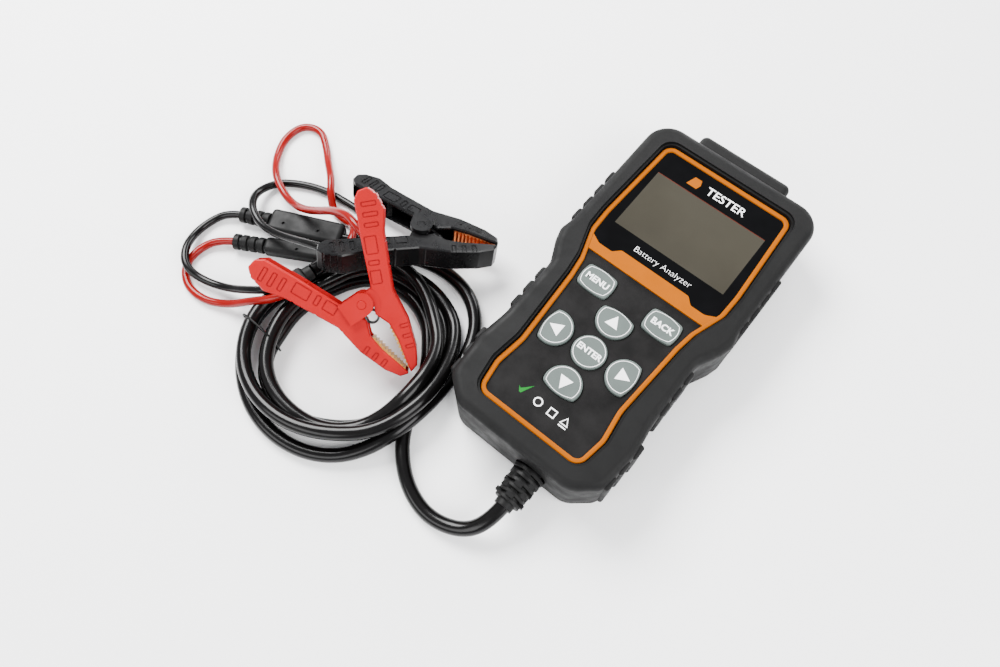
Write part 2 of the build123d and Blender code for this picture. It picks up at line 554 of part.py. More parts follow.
def clamp_arm(own_ears):
    """One arm: an outer spine with two skins, open towards the other arm, grooved for grip."""
    outline = arm_outline()
    t = CLAMP_HALF_THICKNESS
    arm = prism(outline, CLAMP_CHAMFER - t, t - CLAMP_CHAMFER)
    for side in (-1, 1):
        bevelled = extrude(outline, CLAMP_CHAMFER, dir=(0, 0, 1), taper=40)
        if bevelled.center().Z * side < 0:
            bevelled = mirror(bevelled, Plane.XY)
        arm += Pos(0, 0, side * (t - CLAMP_CHAMFER)) * bevelled
    pocket = prism(Pos(0, -CLAMP_SPINE, 0) * outline, CLAMP_SKIN - t, t - CLAMP_SKIN)
    arm -= pocket
    arm -= Pos(SPRING_X, 0, 0) * Cylinder(SPRING_RADIUS + 1.5, 2 * (t - CLAMP_SKIN))
    arm += prism(outline, -t + 1, t - 1) & Pos(*WEB_PLACE, 0) * Box(3.0, 11.0, 2 * t)
    for groove in grip_grooves():
        arm -= groove
    if own_ears == "inner":
        lug = Cylinder(5.0, 2 * (t - 0.4)) - Cylinder(6, 2 * (t - CLAMP_SKIN))
        web = Pos(0, 4.4, 0) * (Box(8.0, 7.0, 2 * (t - 0.4)) - Box(9, 8, 2 * (t - CLAMP_SKIN)))
        arm += [lug, web]
        recess = Cylinder(9.2, 2 * t + 1) - Cylinder(10, 2 * (t - 0.4))
        arm -= recess
        arm -= Cylinder(PIN_RADIUS + 0.06, 40)
    else:
        arm -= Cylinder(5.6, 40)
        for side in (-1, 1):
            tab = Cylinder(5.7, EAR_TOP - t) + Pos(0, 5.0, 0) * Box(11.4, 10.0, EAR_TOP - t)
            arm += Pos(0, 0, side * (EAR_TOP + t) / 2) * tab
        arm -= Cylinder(PIN_RADIUS, 40)
    return arm


def grip_grooves():
    """Shallow loops pressed into both faces of an arm: finger slots, two panels and jaw slots."""
    depth, line = 0.5, 0.6
    handle = Pos(-44.5, 31.5, 0) * Rot(0, 0, -24.5)
    loops = [(6.5, 1.6, 2.6, 7.6), (11.5, 1.6, 2.6, 7.6), (16.5, 1.2, 2.6, 7.2), (26.0, -0.6, 9.0, 6.2),
             (34.5, -0.8, 2.8, 5.6), (41.5, -1.0, 7.0, 5.6)]
    grooves = []
    for x, y, long, wide in loops:
        loop = RectangleRounded(long, wide, 0.9) - RectangleRounded(long - 2 * line, wide - 2 * line, 0.4)
        for side in (-1, 1):
            z = side * (CLAMP_HALF_THICKNESS - depth / 2 + 0.2)
            grooves.append(handle * Pos(x, y, z - depth / 2 - 0.2) * extrude(loop, depth + 0.4))
    for x in (20.0, 25.0, 30.0):
        y = 15.2 - 0.34 * (x - 17.0)
        slot = RectangleRounded(2.4, 6.0, 0.9) - RectangleRounded(2.4 - 2 * line, 6.0 - 2 * line, 0.4)
        for side in (-1, 1):
            z = side * (CLAMP_HALF_THICKNESS - depth / 2 + 0.2)
            grooves.append(Pos(x, y - 2.4, z - depth / 2 - 0.2) * Rot(0, 0, -19) * extrude(slot, depth + 0.4))
            grooves.append(Pos(x + 2.6, y - 0.3, 0) * Cylinder(0.7, 40))
    for x, y in ((-41.0, 36.2), (-37.5, 36.4), (-34.0, 36.0), (-19.0, 27.4), (-8.0, 22.1), (6.0, 16.6)):
        grooves.append(Pos(x, y, 0) * Cylinder(1.0, 40))
    return grooves


def jaw_strip():
    """Toothed contact strip that lines the gripping edge of one jaw."""
    start, end = Vector(16.5, 5.3), Vector(39.0, 1.25)
    teeth = 11
    along = (end - start) / teeth
    across = Vector(along.Y, -along.X).normalized() * 1.1
    if across.Y > 0:
        across = -across
    points = [start - across * 1.2]
    for i in range(teeth):
        points.append(start + along * i)
        points.append(start + along * (i + 0.5) + across * 0.9)
    points.append(end)
    points.append(end - across * 1.2)
    width = 2 * (CLAMP_HALF_THICKNESS - CLAMP_SKIN) - 0.2
    return prism(make_face(Polyline(*points, close=True)), -width / 2, width / 2)


def pivot_pin():
    """Pin pressed into the outer ears."""
    pin = Cylinder(PIN_RADIUS, 2 * EAR_TOP)
    return chamfer(pin.edges(), 0.3)


def clamp_spring():
    """Torsion spring that closes the jaws: three close turns and a leg along each handle."""
    wire = 0.55
    turns = [Pos(SPRING_X, 0, z) * Torus(SPRING_RADIUS, wire) for z in (-1.05, 0.0, 1.05)]
    body = turns[0] + turns[1] + turns[2]
    tips = ((1, Vector(-6.0, 18.6, 1.05)), (-1, Vector(-5.0, -13.0, -1.05)))
    for side, tip in tips:
        start = Vector(SPRING_X + 1.8, side * 2.9, side * 1.05)
        leg = Cylinder(wire, (tip - start).length, align=(Align.CENTER, Align.CENTER, Align.MIN))
        body += Plane(origin=start, z_dir=tip - start).location * leg
    return body


def clamp(prefix, plane, plastic, metal):
    """All the pieces of one clamp at its place."""
    lead_arm = clamp_arm("inner")
    free_arm = flip(clamp_arm("outer"))
    strip = jaw_strip()
    node(prefix + "_lead_arm", plane.location * lead_arm, plastic)
    node(prefix + "_free_arm", plane.location * free_arm, plastic)
    node(prefix + "_lead_jaw_strip", plane.location * strip, metal)
    node(prefix + "_free_jaw_strip", plane.location * flip(strip), metal)
    node(prefix + "_pivot_pin", plane.location * pivot_pin(), plastic)
    node(prefix + "_spring", plane.location * clamp_spring(), (0.1, 0.1, 0.1))


def tester():
    """The instrument itself."""
    node("rubber_boot", boot(), (0.12, 0.12, 0.12))
    node("front_housing", front_housing(), (0.15, 0.15, 0.15))
    node("rear_housing", rear_housing(), (0.15, 0.15, 0.15))
    node("orange_bezel", orange_bezel(), (1.0, 0.42, 0.02))
    node("display_window", display_window(), (0.02, 0.02, 0.02))
    node("keypad_panel", keypad_panel(), (0.2, 0.19, 0.19))
    for name, (outline, centre, turn) in key_shapes().items():
        node(name, key_cap(outline, centre, turn), (0.5, 0.56, 0.53))
    electronics()
    fasteners()
    node("cable_gland", cable_gland(), (0.05, 0.05, 0.05))
    tail_length = HEADER_Y - 4 - GLAND_END_Y
    tail = Cylinder(CABLE_DIAMETER / 2, tail_length, align=(Align.CENTER, Align.CENTER, Align.MAX))
    node("cable_tail", Pos(GLAND_X, GLAND_END_Y, GLAND_Z) * Rot(90, 0, 0) * tail, (0.03, 0.03, 0.03))


def cords():
    """The cable, its coil, the splitter, the leads and the inline pieces."""
    black, red = (0.03, 0.03, 0.03), (0.8, 0.05, 0.04)
    node("cable_run", cord_tube("cable_run", CABLE_ROUTE, CABLE_DIAMETER), black)
    node("cable_coil", cable_coil(), black)
    node("twist_tie", twist_tie(), black)
    node("cable_splitter", splitter(), black)
    node("black_lead", cord_tube("black_lead", BLACK_LEAD_ROUTE, LEAD_DIAMETER), black)
    node("red_lead", cord_tube("red_lead", RED_LEAD_ROUTE, LEAD_DIAMETER), red)
    node("flat_module", FLAT_MODULE.location * inline_module(FLAT_MODULE_LENGTH, 14.0, 8.4, (26, 46)), black)
    node("slim_module", SLIM_MODULE.location * inline_module(SLIM_MODULE_LENGTH, 9.0, 8.4, (36,)), black)
    node("black_clamp_lead", cord_tube("black_clamp_lead", BLACK_CLAMP_LEAD_ROUTE, LEAD_DIAMETER), black)
    node("red_clamp_lead", cord_tube("red_clamp_lead", RED_CLAMP_LEAD_ROUTE, LEAD_DIAMETER), red)


tester()
cords()
clamp("red", RED_CLAMP, (0.95, 0.30, 0.28), (0.85, 0.65, 0.25))
clamp("black", BLACK_CLAMP, (0.06, 0.06, 0.06), (0.80, 0.42, 0.20))

os.makedirs("parts", exist_ok=True)
for name, shape in NODES.items():
    export_step(shape, f"parts/{name}.step")
print(len(NODES), "nodes")
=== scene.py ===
import math

import bpy
from mathutils import Matrix, Vector


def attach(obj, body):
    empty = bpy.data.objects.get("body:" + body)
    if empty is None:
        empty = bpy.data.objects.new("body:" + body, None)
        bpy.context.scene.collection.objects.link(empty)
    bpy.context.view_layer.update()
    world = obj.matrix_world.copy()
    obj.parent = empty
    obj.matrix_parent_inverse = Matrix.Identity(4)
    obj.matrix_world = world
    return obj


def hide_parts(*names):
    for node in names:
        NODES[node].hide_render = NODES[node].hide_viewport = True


# A hand-held battery tester with its coiled cable, leads and two clamps, lying on a pale surface.
# Positions on the object are in millimetres, in the frame of the CAD part. The camera and the lights
# are placed in metres.

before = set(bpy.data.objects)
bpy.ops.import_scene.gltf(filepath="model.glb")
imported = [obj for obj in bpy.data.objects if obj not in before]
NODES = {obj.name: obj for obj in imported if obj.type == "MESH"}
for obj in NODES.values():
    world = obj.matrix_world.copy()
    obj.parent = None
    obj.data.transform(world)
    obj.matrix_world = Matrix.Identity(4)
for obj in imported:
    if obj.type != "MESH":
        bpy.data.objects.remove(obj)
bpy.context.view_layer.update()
MM = 0.001

CABLE_DIAMETER = 7.4
LEAD_DIAMETER = 4.3
PANEL_TOP_Z = 32.0
LENS_TOP_Z = 32.4
KEY_TOP_Z = 33.3
INK_THICKNESS = 0.04
BADGE_INK_THICKNESS = 0.05
LETTER_HALF_THICKNESS = 0.02
LENS_LETTER_LIFT = 0.03

KEYS = {
    "key_menu": (-19.2, -8.8),
    "key_back": (19.2, -8.8),
    "key_enter": (0.0, -41.3),
    "key_up": (0.0, -21.4),
    "key_down": (0.0, -61.2),
    "key_left": (-19.9, -41.3),
    "key_right": (19.9, -41.3),
}
ARROW_TURNS = {"key_up": 90, "key_left": 180, "key_down": 270, "key_right": 0}

# the control points of each cord, the same as in the CAD part
CABLE_ROUTE = (
    (12.0, -119.0, 15.2), (11.4, -130.0, 12.2), (3.5, -140.5, 6.4), (-13.5, -145.5, 3.8),
    (-31.0, -140.5, 3.8), (-45.5, -128.5, 3.8), (-54.0, -114.0, 3.8),
)
BLACK_LEAD_ROUTE = (
    (-144.7, -103.8, 19.3), (-148.6, -111.6, 18.4), (-160.5, -117.8, 13.0), (-174.5, -122.8, 5.0),
    (-188.5, -127.5, 4.0), (-199.5, -128.5, 7.2), (-208.5, -121.5, 7.2), (-214.5, -110.0, 3.0),
    (-213.6, -98.0, 2.3), (-208.8, -90.0, 3.6), (-200.2, -85.5, 4.5),
)
RED_LEAD_ROUTE = (
    (-138.9, -105.0, 19.3), (-142.6, -113.4, 18.7), (-154.2, -121.0, 13.6), (-167.0, -128.8, 4.4),
    (-180.5, -135.2, 2.3), (-194.5, -135.0, 2.3), (-204.8, -126.5, 2.3), (-205.6, -114.5, 2.3),
    (-200.4, -105.0, 3.6), (-190.7, -99.4, 4.5),
)
BLACK_CLAMP_LEAD_ROUTE = (
    (-119.3, -65.0, 26.6), (-127.2, -72.4, 28.5), (-136.2, -78.7, 29.5), (-147.4, -81.5, 26.2),
    (-159.5, -83.6, 20.5), (-172.5, -85.8, 15.2), (-186.0, -86.0, 12.0), (-198.0, -80.5, 11.6),
    (-205.6, -71.0, 6.0), (-203.4, -58.6, 2.3), (-192.5, -50.6, 2.3), (-178.5, -45.0, 2.3),
    (-163.0, -43.0, 2.3), (-147.0, -42.3, 2.4), (-140.0, -49.5, 3.0), (-142.3, -58.7, 4.0),
    (-150.3, -62.3, 4.5),
)
RED_CLAMP_LEAD_ROUTE = (
    (-113.2, -67.1, 43.2), (-122.7, -65.9, 47.3), (-134.2, -62.7, 44.8), (-146.2, -63.4, 36.8),
    (-158.0, -64.6, 26.0), (-169.5, -65.2, 16.0), (-181.0, -65.0, 9.2), (-193.0, -62.6, 6.8),
    (-205.0, -57.0, 7.0), (-216.0, -47.0, 2.6), (-222.3, -34.0, 2.3), (-220.5, -21.0, 2.3),
    (-209.5, -16.6, 2.3), (-198.5, -23.8, 2.3), (-188.5, -32.0, 4.0), (-178.5, -39.0, 7.7),
    (-172.3, -46.0, 7.2), (-166.5, -51.5, 3.0), (-158.3, -52.6, 2.4), (-149.5, -52.2, 4.2),
    (-143.5, -57.5, 8.6), (-140.0, -65.0, 9.0), (-141.5, -72.8, 6.0), (-149.3, -76.1, 4.5),
)
TIE_ROUTE = (
    (-153.0, -128.6, 1.5), (-155.0, -128.6, 8.0), (-150.0, -128.6, 15.8), (-141.0, -128.8, 16.6),
    (-132.5, -129.2, 15.6), (-127.6, -129.6, 9.0), (-128.6, -129.6, 2.0),
)

# the coil: the cable's angle round the middle of the coil in degrees, its distance from the middle
# and its height
COIL_MIDDLE = (-101.0, -107.0)
COIL_PASSES = (
    (12, 43.2, 3.8), (39, 41.0, 3.8), (60, 42.3, 3.8), (116, 41.1, 3.8), (149, 35.6, 3.8),
    (210, 37.6, 3.8), (229, 43.4, 3.8), (276, 43.6, 3.8), (299, 41.7, 3.8), (330, 42.6, 5.0),
    (350, 43.0, 9.5), (365, 44.0, 11.2), (385, 46.5, 8.0), (400, 48.2, 4.5), (417, 49.2, 3.8),
    (476, 45.0, 10.2), (509, 37.0, 11.2), (570, 38.2, 11.2), (591, 40.8, 11.2), (636, 43.0, 11.2),
    (662, 44.8, 10.2), (690, 44.6, 11.8), (710, 44.0, 16.8), (725, 44.5, 18.6), (745, 46.0, 15.4),
    (760, 46.6, 11.9), (776, 46.0, 10.3), (836, 52.4, 10.3), (869, 43.6, 11.2), (918, 50.8, 11.2),
    (949, 51.9, 11.2), (992, 48.8, 13.5), (1023, 47.8, 15.7), (1050, 49.5, 15.5), (1070, 50.6, 18.0),
    (1085, 51.4, 16.0), (1100, 52.0, 12.8), (1117, 54.0, 7.5), (1134, 56.2, 3.8), (1198, 49.0, 3.8),
    (1230, 43.2, 3.8), (1278, 53.4, 3.8), (1307, 54.5, 3.8), (1365, 56.7, 3.8), (1385, 56.3, 3.8),
    (1400, 55.0, 6.0), (1415, 53.8, 10.0), (1425, 53.0, 11.4), (1437, 52.5, 9.5), (1450, 52.8, 5.2),
    (1461, 54.4, 3.8), (1486, 65.6, 3.8), (1505, 69.2, 3.8), (1529, 64.6, 3.8), (1547, 58.0, 6.5),
    (1566, 51.6, 11.5), (1583, 46.4, 16.4),
)
COIL_STEP = 15.0
FLOOR_CLEARANCE = 0.05
SPLITTER_NECK = (-139.0, -90.2, 19.3)
TIE_DIAMETER = 1.1

# the cords' lengths in metres
BLACK_LEAD_LENGTH = 0.120
RED_LEAD_LENGTH = 0.115
BLACK_CLAMP_LEAD_LENGTH = 0.200
RED_CLAMP_LEAD_LENGTH = 0.265


# --- materials ---

NOISE_ROUGHNESS = 0.6
NOISE_MIDDLE = (0.35, 0.65)
WEAR_SCALE = 1.7
WEAR_SMOOTHEST = 0.85
WEAR_ROUGHEST = 1.2
ORANGE_COLOR = (0.26, 0.065, 0.0)


def new_material(name, color, roughness, metallic, shine):
    """A material with one principled shader; every uniform value is set on the shader itself."""
    material = bpy.data.materials.new(name)
    material.use_nodes = True
    shader = material.node_tree.nodes["Principled BSDF"]
    shader.inputs["Base Color"].default_value = (*color, 1.0)
    shader.inputs["Roughness"].default_value = roughness
    shader.inputs["Metallic"].default_value = metallic
    shader.inputs["Specular IOR Level"].default_value = shine
    return material, shader


def noise(material, scale, detail=4.0):
    """Noise over the object's own coordinates."""
    nodes, links = material.node_tree.nodes, material.node_tree.links
    place = nodes.new("ShaderNodeTexCoord")
    texture = nodes.new("ShaderNodeTexNoise")
    texture.inputs["Scale"].default_value = scale
    texture.inputs["Detail"].default_value = detail
    texture.inputs["Roughness"].default_value = NOISE_ROUGHNESS
    links.new(place.outputs["Object"], texture.inputs["Vector"])
    return texture


def spread(material, source, low, high):
    """Maps a texture's middle range to low..high."""
    nodes, links = material.node_tree.nodes, material.node_tree.links
    ramp = nodes.new("ShaderNodeMapRange")
    ramp.inputs["From Min"].default_value = NOISE_MIDDLE[0]
    ramp.inputs["From Max"].default_value = NOISE_MIDDLE[1]
    ramp.inputs["To Min"].default_value = low
    ramp.inputs["To Max"].default_value = high
    links.new(source, ramp.inputs["Value"])
    return ramp.outputs["Result"]


def vary_color(material, shader, scale, low, high):
    """Shades the base colour slightly between low and high."""
    nodes, links = material.node_tree.nodes, material.node_tree.links
    texture = noise(material, scale)
    mix = nodes.new("ShaderNodeMix")
    mix.data_type = "RGBA"
    mix.inputs["A"].default_value = (*low, 1.0)
    mix.inputs["B"].default_value = (*high, 1.0)
    links.new(spread(material, texture.outputs["Fac"], 0.0, 1.0), mix.inputs["Factor"])
    links.new(mix.outputs["Result"], shader.inputs["Base Color"])


def vary_roughness(material, shader, scale, low, high):
    """Wear and handling marks: the roughness wanders between low and high."""
    texture = noise(material, scale, detail=6.0)
    material.node_tree.links.new(
        spread(material, texture.outputs["Fac"], low, high), shader.inputs["Roughness"])


def add_bump(material, shader, scale, height):
    """Fine surface texture, height in millimetres."""
    nodes, links = material.node_tree.nodes, material.node_tree.links
    texture = noise(material, scale, detail=3.0)
    bump = nodes.new("ShaderNodeBump")
    bump.inputs["Distance"].default_value = height * MM
    bump.inputs["Strength"].default_value = 1.0
    links.new(texture.outputs["Fac"], bump.inputs["Height"])
    links.new(bump.outputs["Normal"], shader.inputs["Normal"])


def surface(name, color, roughness, grain, tint=0.12, metallic=0.0, patch=60.0, shine=0.5):
    """A finish: tint is the colour change, patch is its scale, grain is (scale, height in mm) and
    shine is the strength of the reflections."""
    material, shader = new_material(name, color, roughness, metallic, shine)
    low = [c * (1 - tint) for c in color]
    high = [min(1.0, c * (1 + tint)) for c in color]
    vary_color(material, shader, patch, low, high)
    smooth, rough = roughness * WEAR_SMOOTHEST, min(1.0, roughness * WEAR_ROUGHEST)
    vary_roughness(material, shader, patch * WEAR_SCALE, smooth, rough)
    add_bump(material, shader, *grain)
    return material


# the tester's outside
BOOT = surface("boot_rubber", (0.0042, 0.0042, 0.0042), 0.58, (2600.0, 0.03), shine=0.12)
CASE = surface("case_plastic", (0.008, 0.008, 0.008), 0.55, (2200.0, 0.03), shine=0.2)
ORANGE = surface("orange_gloss", ORANGE_COLOR, 0.30, (240.0, 0.01), tint=0.05, shine=0.03)
LENS = surface("lens_gloss", (0.001, 0.001, 0.0012), 0.08, (60.0, 0.004), tint=0.3, shine=0.12)
PANEL = surface("keypad_film", (0.0050, 0.0047, 0.0047), 0.60, (3200.0, 0.03), tint=0.45, shine=0.08)
KEY = surface("key_film", (0.070, 0.086, 0.080), 0.42, (3000.0, 0.012), tint=0.06, shine=0.2)
LABEL = surface("label_film", (0.52, 0.52, 0.53), 0.45, (1500.0, 0.008), tint=0.05)

# its inside
GREEN = surface("board_green", (0.02, 0.13, 0.05), 0.35, (900.0, 0.02))
WHITE_PART = surface("white_part", (0.70, 0.70, 0.68), 0.5, (900.0, 0.02))
STEEL = surface("plain_steel", (0.55, 0.55, 0.56), 0.3, (700.0, 0.01), metallic=1.0)
CAN = surface("can_sleeve", (0.02, 0.03, 0.18), 0.35, (500.0, 0.01))

# cords
CABLE = surface("cable_jacket", (0.0020, 0.0018, 0.0018), 0.20, (500.0, 0.01), tint=0.25, shine=0.17)
RED_JACKET = surface("red_jacket", (0.16, 0.0012, 0.0010), 0.18, (500.0, 0.008), tint=0.08, shine=0.18)
MOULDED = surface("moulded_black", (0.003, 0.003, 0.003), 0.55, (1800.0, 0.02), tint=0.2, shine=0.14)
TIE = surface("tie_wire", (0.002, 0.002, 0.002), 0.45, (900.0, 0.02), shine=0.12)

# clamps
RED_CLAMP = surface("red_clamp", (0.30, 0.0032, 0.0050), 0.36, (1500.0, 0.018), tint=0.05, shine=0.12)
BLACK_CLAMP = surface("black_clamp", (0.002, 0.002, 0.0022), 0.28, (1500.0, 0.02), tint=0.2, shine=0.24)
TEETH = surface("brass_teeth", (0.62, 0.34, 0.09), 0.30, (800.0, 0.02), metallic=1.0)
COPPER_TEETH = surface("copper_teeth", (0.70, 0.22, 0.08), 0.32, (800.0, 0.02), metallic=1.0)
SPRING = surface("spring_wire", (0.05, 0.05, 0.05), 0.3, (700.0, 0.01), metallic=0.8)

# print, display and floor
WHITE_INK = surface("white_ink", (0.86, 0.86, 0.86), 0.5, (2600.0, 0.006), tint=0.04)
ORANGE_INK = surface("orange_ink", ORANGE_COLOR, 0.45, (2600.0, 0.006), tint=0.04, shine=0.03)
GREEN_INK = surface("green_ink", (0.002, 0.12, 0.012), 0.5, (2600.0, 0.006), tint=0.06, shine=0.1)
LCD = surface(
    "lcd_view", (0.026, 0.0235, 0.0175), 0.35, (40.0, 0.004), tint=0.10, patch=14.0, shine=0.06)
LCD_EDGE = surface("lcd_edge", (0.055, 0.010, 0.005), 0.4, (900.0, 0.006), tint=0.1, shine=0.1)
FLOOR = surface("floor_paper", (0.95, 0.95, 0.95), 0.8, (300.0, 0.02), tint=0.01, patch=6.0, shine=0.2)

NODE_MATERIALS = {
    "rubber_boot": BOOT, "front_housing": CASE, "rear_housing": CASE, "orange_bezel": ORANGE,
    "display_window": LENS, "keypad_panel": PANEL, "lcd_panel": LCD, "backlight_tray": WHITE_PART,
    "main_board": GREEN, "key_switches": STEEL, "board_chips": CASE, "capacitors": CAN,
    "load_resistor": WHITE_PART, "buzzer": CASE, "cable_header": WHITE_PART, "usb_socket": STEEL,
    "housing_screws": STEEL, "cable_bar": CASE, "cable_bar_screws": STEEL, "label_plate": LABEL,
    "cable_gland": MOULDED, "cable_tail": CABLE, "cable_run": CABLE, "cable_coil": CABLE,
    "twist_tie": TIE, "cable_splitter": MOULDED, "black_lead": CABLE, "red_lead": RED_JACKET,
    "flat_module": MOULDED, "slim_module": MOULDED, "black_clamp_lead": CABLE,
    "red_clamp_lead": RED_JACKET, "red_lead_arm": RED_CLAMP, "red_free_arm": RED_CLAMP,
    "red_pivot_pin": RED_CLAMP, "black_lead_arm": BLACK_CLAMP, "black_free_arm": BLACK_CLAMP,
    "black_pivot_pin": BLACK_CLAMP, "red_spring": SPRING, "black_spring": SPRING,
    "red_lead_jaw_strip": TEETH, "red_free_jaw_strip": TEETH,
    "black_lead_jaw_strip": COPPER_TEETH, "black_free_jaw_strip": COPPER_TEETH,
}
for key in KEYS:
    NODE_MATERIALS[key] = KEY


def paint(obj, material):
    """Gives an object one material."""
    obj.data.materials.clear()
    obj.data.materials.append(material)


def paint_cad_nodes():
    """Every CAD node gets its finish."""
    for name, obj in NODES.items():
        paint(obj, NODE_MATERIALS[name])


# --- cords ---

def tube(name, points, diameter, material):
    """A round cord of the tester's body whose control points are given in millimetres."""
    curve = bpy.data.curves.new(name, "CURVE")
    curve.dimensions = "3D"
    curve.bevel_depth = diameter / 2 * MM
    curve.bevel_resolution = 6
    curve.resolution_u = 10
    curve.use_fill_caps = True
    spline = curve.splines.new("NURBS")
    spline.points.add(len(points) - 1)
    for control, (x, y, z) in zip(spline.points, points):
        control.co = (x * MM, y * MM, z * MM, 1.0)
    spline.order_u = 3
    spline.use_endpoint_u = True
    obj = bpy.data.objects.new(name, curve)
    bpy.context.scene.collection.objects.link(obj)
    curve.materials.append(material)
    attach(obj, "tester")
    return obj


def blend_value(passes, angle, column):
    """A smooth curve through the passes' values, read at an angle."""
    last = len(passes) - 1
    i = 0
    while i < last - 1 and passes[i + 1][0] < angle:
        i += 1
    before, start = passes[max(i - 1, 0)], passes[i]
    end, after = passes[i + 1], passes[min(i + 2, last)]
    width = end[0] - start[0]
    t = min(1.0, max(0.0, (angle - start[0]) / width))
    slope_start = (end[column] - before[column]) / max(end[0] - before[0], 1) * width
    slope_end = (after[column] - start[column]) / max(after[0] - start[0], 1) * width
    return (
        (2 * t**3 - 3 * t**2 + 1) * start[column]
        + (t**3 - 2 * t**2 + t) * slope_start
        + (3 * t**2 - 2 * t**3) * end[column]
        + (t**3 - t**2) * slope_end
    )


def coil_points():
    """The turns of the coil, a point for about every COIL_STEP degrees."""
    points = []
    first, last = COIL_PASSES[0][0], COIL_PASSES[-1][0]
    count = round((last - first) / COIL_STEP)
    for i in range(count + 1):
        at = first + (last - first) * i / count
        radius, height = blend_value(COIL_PASSES, at, 1), blend_value(COIL_PASSES, at, 2)
        turn = math.radians(at)
        points.append((
            COIL_MIDDLE[0] + radius * math.cos(turn),
            COIL_MIDDLE[1] + radius * math.sin(turn),
            max(height, CABLE_DIAMETER / 2 + FLOOR_CLEARANCE),
        ))
    return points


def build_cable():
    """The thick cable with its coil, as one cord."""
    route = list(CABLE_ROUTE) + coil_points() + [SPLITTER_NECK]
    cable = tube("cable", route, CABLE_DIAMETER, CABLE)
    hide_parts("cable_run", "cable_coil")


def build_leads():
    """The leads from the splitter to the modules."""
    for name, route, material, length, module in (
        ("black_lead", BLACK_LEAD_ROUTE, CABLE, BLACK_LEAD_LENGTH, "flat_module"),
        ("red_lead", RED_LEAD_ROUTE, RED_JACKET, RED_LEAD_LENGTH, "slim_module"),
    ):
        lead = tube(name + "_cord", route, LEAD_DIAMETER, material)
        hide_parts(name)


def build_clamp_leads():
    """The leads from the modules to the clamps."""
    for color, route, material, length in (
        ("black", BLACK_CLAMP_LEAD_ROUTE, CABLE, BLACK_CLAMP_LEAD_LENGTH),
        ("red", RED_CLAMP_LEAD_ROUTE, RED_JACKET, RED_CLAMP_LEAD_LENGTH),
    ):
        from_module = route[::-1]
        lead = tube(color + "_clamp_cord", from_module, LEAD_DIAMETER, material)
        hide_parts(color + "_clamp_lead")


def build_cords():
    """The cable, the leads and the twist tie."""
    build_cable()
    build_leads()
    build_clamp_leads()
    tie = tube("tie_wire", TIE_ROUTE, TIE_DIAMETER, TIE)
    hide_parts("twist_tie")


# --- printed marks ---

# key outlines, about a key's own centre
ENTER_KEY_RADIUS = 8.7
ARROW_KEY_CORNER = (4.2, 8.4)
ARROW_KEY_CROWN = 6.3
ARROW_KEY_BACK = 8.7
WORD_KEY_CORNER = (7.7, 5.4)
WORD_KEY_HALF_WIDTH = 9.2
WORD_KEY_HALF_HEIGHT = 6.9
KEY_LINE_INSET = 0.90
KEY_LINE_WIDTH = 0.26
ARROW_OUTLINE = ((3.6, 0.0), (-2.9, 3.5), (-2.9, -3.5))

# words: text and letter size, and how far the strokes are widened
KEY_WORDS = {"key_menu": ("MENU", 4.7), "key_back": ("BACK", 4.7), "key_enter": ("ENTER", 4.5)}
KEY_WORD_BOLD = 0.14
NAME_LINE = ("TESTER", 7.0, (5.0, 69.8))
NAME_BOLD = 0.04
SMALL_LINE = ("Battery Analyzer", 5.0, (1.0, 18.2))
SMALL_BOLD = -0.12

# plain marks on the lens and the keypad panel
LCD_OUTLINE = ((-32.5, 24.4), (32.5, 24.4), (32.5, 63.0), (-32.5, 63.0))
LCD_TOP_OUTLINE = ((-32.5, 63.0), (32.5, 63.0), (32.5, 63.4), (-32.5, 63.4))
BADGE_OUTLINE = ((-17.5, 67.0), (-11.5, 67.0), (-10.5, 70.0), (-11.5, 73.0), (-15.5, 73.0))
TICK_OUTLINE = (
    (-15.4, -74.6), (-14.2, -75.4), (-12.9, -74.2), (-9.6, -70.6), (-12.7, -77.2), (-13.7, -77.2),
)
RING_RADIUS = 2.3
RING_SIDES = 32
RING_PLACE, RING_LINE = (-3.6, -75.6), 0.6
SQUARE_OUTLINE = ((-2.1, -2.1), (2.1, -2.1), (2.1, 2.1), (-2.1, 2.1))
SQUARE_PLACE, SQUARE_LINE = (4.6, -75.8), 0.8
TRIANGLE_OUTLINE = ((-2.3, -1.6), (2.3, -1.6), (0.0, 2.6))
TRIANGLE_PLACE, TRIANGLE_LINE = (12.0, -75.6), 0.8
BAR_OUTLINE = ((9.9, -78.6), (14.1, -78.6), (14.1, -78.0), (9.9, -78.0))


def add_mesh(name, mesh, material, body):
    """Puts a mesh in the scene as a painted piece of a body."""
    obj = bpy.data.objects.new(name, mesh)
    bpy.context.scene.collection.objects.link(obj)
    paint(obj, material)
    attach(obj, body)


def turned(points, degrees):
    """Flat points turned about their own origin."""
    angle = math.radians(degrees)
    return [
        (x * math.cos(angle) - y * math.sin(angle), x * math.sin(angle) + y * math.cos(angle))
        for x, y in points
    ]


def flat_shape(name, outline, z, thickness, material, body):
    """A thin printed shape with the given outline in millimetres."""
    count = len(outline)
    low = [(x * MM, y * MM, z * MM) for x, y in outline]
    high = [(x * MM, y * MM, (z + thickness) * MM) for x, y in outline]
    faces = [tuple(range(count, 2 * count)), tuple(reversed(range(count)))]
    faces += [(i, (i + 1) % count, count + (i + 1) % count, count + i) for i in range(count)]
    mesh = bpy.data.meshes.new(name)
    mesh.from_pydata(low + high, [], faces)
    mesh.update()
    add_mesh(name, mesh, material, body)


